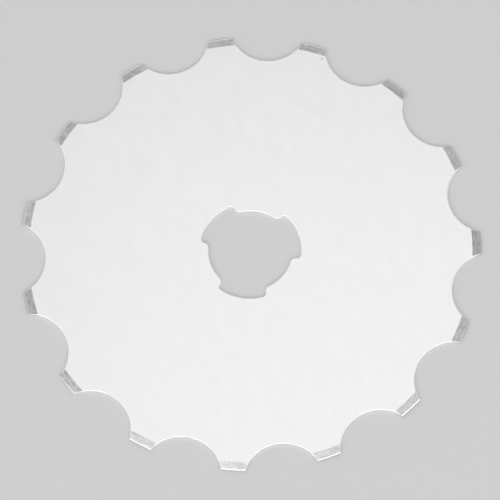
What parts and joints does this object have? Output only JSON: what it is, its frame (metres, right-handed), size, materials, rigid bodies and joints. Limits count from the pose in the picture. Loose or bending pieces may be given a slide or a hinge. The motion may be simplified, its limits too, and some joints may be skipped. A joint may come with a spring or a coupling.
{
  "type": "rotary cutter blade",
  "caption": "Thin round steel cutting blade with a scalloped rim, short teeth ground to a double-bevelled knife edge, and a lobed centre hole that keys onto a hub.",
  "frame": {"origin": "on the hub axis, in the plane of the lower face", "axes": "+Z along the hub axis, out of the upper face, whose punched rims are rolled; -Y through the middle of one lobe of the hub hole"},
  "size_m": [0.0447, 0.045, 0.0003],
  "materials": {
    "blade_steel": "finely ground and polished"
  },
  "bodies": {
    "root": {"cutter_blade": "blade_steel"}
  },
  "joints": []
}
